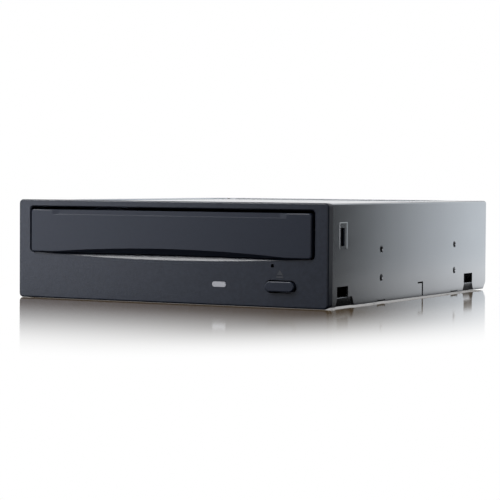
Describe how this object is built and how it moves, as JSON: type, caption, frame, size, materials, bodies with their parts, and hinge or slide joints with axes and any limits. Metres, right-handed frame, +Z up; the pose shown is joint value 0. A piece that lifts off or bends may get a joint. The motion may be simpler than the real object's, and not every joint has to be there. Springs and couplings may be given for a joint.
{
  "type": "internal dvd drive",
  "caption": "Half-height internal optical disc drive with a steel case, dark bezel, sliding disc tray, eject button and rear power and data socket.",
  "frame": {"origin": "middle of the bounding box at its lowest plane, which is the bezel's lower edge", "axes": "+Z up, +Y from the bezel towards the rear, +X to the right as the bezel is seen from the front"},
  "size_m": [0.148, 0.1714, 0.042],
  "materials": {
    "case_steel": "zinc-coated sheet steel, smooth, slightly brushed",
    "cover_steel": "zinc-coated sheet steel",
    "screw_steel": "plated screw steel",
    "bezel_plastic": "dark slate grained moulding",
    "door_plastic": "dark slate grained moulding",
    "button_plastic": "dark slate grained moulding",
    "clear_plastic": "frosted light guide",
    "frame_plastic": "black glass-filled moulding",
    "tray_plastic": "black moulding",
    "motor_steel": "plated can",
    "axle_steel": "ground steel",
    "gear_plastic": "natural white acetal",
    "belt_rubber": "black square belt",
    "slider_plastic": "natural white acetal",
    "mount_rubber": "soft damping rubber",
    "deck_steel": "stamped sheet steel",
    "rotor_steel": "plated rotor",
    "pad_rubber": "grippy disc pad",
    "hub_plastic": "black acetal",
    "sled_metal": "die-cast zinc",
    "lens_plastic": "black moulding",
    "lens_glass": "coated lens",
    "magnet": "nickel-plated magnet",
    "clamper_plastic": "natural white acetal",
    "board_laminate": "green solder resist",
    "chip_plastic": "black moulding compound",
    "pad_silicone": "grey gap filler",
    "switch_plastic": "black moulding",
    "socket_plastic": "black moulding",
    "contact_metal": "gold flash",
    "ribbon_plastic": "white flat cable"
  },
  "bodies": {
    "case": {"top_cover": "case_steel", "bottom_cover": "cover_steel", "cover_screws": "screw_steel", "bezel": "bezel_plastic", "light_window": "clear_plastic", "loader_frame": "frame_plastic", "loading_motor": "motor_steel", "motor_screws": "screw_steel", "drive_belt": "belt_rubber", "clamp_bridge": "deck_steel", "bridge_screws": "screw_steel", "main_board": "board_laminate", "board_chips": "chip_plastic", "thermal_pads": "pad_silicone", "front_board": "board_laminate", "board_screws": "screw_steel", "eject_switch": "switch_plastic", "status_led": "clear_plastic", "power_data_socket": "socket_plastic", "socket_contacts": "contact_metal", "ribbon_sockets": "socket_plastic", "front_ribbon": "ribbon_plastic"},
    "tray": {"tray": "tray_plastic", "tray_door": "door_plastic"},
    "button": {"eject_button": "button_plastic", "switch_plunger": "switch_plastic"},
    "traverse": {"lift_frame": "frame_plastic", "rubber_mounts": "mount_rubber", "mount_screws": "screw_steel", "traverse_deck": "deck_steel", "guide_rod_main": "axle_steel", "guide_rod_sub": "axle_steel", "sled_motor": "motor_steel", "spindle_motor": "motor_steel"},
    "cam": {"cam_slider": "slider_plastic"},
    "spindle": {"turntable": "rotor_steel", "turntable_pad": "pad_rubber", "disc_hub": "hub_plastic"},
    "sled": {"sled": "sled_metal", "sled_cover": "deck_steel", "actuator_magnets": "magnet", "laser_diode": "motor_steel", "feed_nut": "gear_plastic"},
    "lens": {"lens_holder": "lens_plastic", "objective_lens": "lens_glass"},
    "feed_screw": {"lead_screw": "axle_steel"},
    "clamp": {"clamper": "clamper_plastic", "clamper_plate": "deck_steel"},
    "loading_gear": {"drive_gear": "gear_plastic"},
    "belt_wheel": {"pulley_gear": "gear_plastic"},
    "motor_rotor": {"motor_shaft": "axle_steel", "motor_pulley": "gear_plastic"}
  },
  "joints": [
    {"name": "tray_slide", "type": "slide", "parent": "case", "child": "tray", "axis": [0, -1, 0], "range_m": [0, 0.136]},
    {"name": "eject_press", "type": "slide", "parent": "case", "child": "button", "axis": [0, 1, 0], "range_m": [0, 0.0006], "stiffness_N_per_m": 600},
    {"name": "traverse_tilt", "type": "hinge", "parent": "case", "child": "traverse", "pos_m": [0, 0.0712, 0.015], "axis": [1, 0, 0], "range_deg": [0, 3.5]},
    {"name": "cam_slide", "type": "slide", "parent": "case", "child": "cam", "axis": [-1, 0, 0], "range_m": [0, 0.016]},
    {"name": "spindle_spin", "type": "hinge", "parent": "traverse", "child": "spindle", "pos_m": [0, -0.0113, 0.02], "axis": [0, 0, 1], "continuous": true},
    {"name": "clamp_spin", "type": "hinge", "parent": "case", "child": "clamp", "pos_m": [0, -0.0113, 0.035], "axis": [0, 0, 1], "continuous": true},
    {"name": "sled_slide", "type": "slide", "parent": "traverse", "child": "sled", "axis": [0, 1, 0], "range_m": [0, 0.034]},
    {"name": "feed_screw_turn", "type": "hinge", "parent": "traverse", "child": "feed_screw", "pos_m": [-0.033, 0.0007, 0.0182], "axis": [0, 1, 0], "range_deg": [-10, 4090]},
    {"name": "lens_focus", "type": "slide", "parent": "sled", "child": "lens", "axis": [0, 0, 1], "range_m": [-0.0006, 0.0006], "stiffness_N_per_m": 30},
    {"name": "loading_gear_turn", "type": "hinge", "parent": "case", "child": "loading_gear", "pos_m": [-0.041, -0.0623, 0.02], "axis": [0, 0, 1], "range_deg": [-1115.2, 2]},
    {"name": "belt_wheel_turn", "type": "hinge", "parent": "case", "child": "belt_wheel", "pos_m": [-0.02278, -0.06486, 0.018], "axis": [0, 0, 1], "range_deg": [-4, 3158]},
    {"name": "motor_turn", "type": "hinge", "parent": "case", "child": "motor_rotor", "pos_m": [0.004, -0.0653, 0.01], "axis": [0, 0, 1], "range_deg": [-10, 12685.5]}
  ],
  "couplings": [
    {"joint": "cam_slide", "follows": "traverse_tilt", "m_per_rad": 0.26192},
    {"joint": "clamp_spin", "follows": "spindle_spin", "ratio": 1},
    {"joint": "feed_screw_turn", "follows": "sled_slide", "rad_per_m": 2094.4},
    {"joint": "loading_gear_turn", "follows": "tray_slide", "rad_per_m": -142.86},
    {"joint": "belt_wheel_turn", "follows": "tray_slide", "rad_per_m": 404.76},
    {"joint": "motor_turn", "follows": "tray_slide", "rad_per_m": 1626.7}
  ]
}
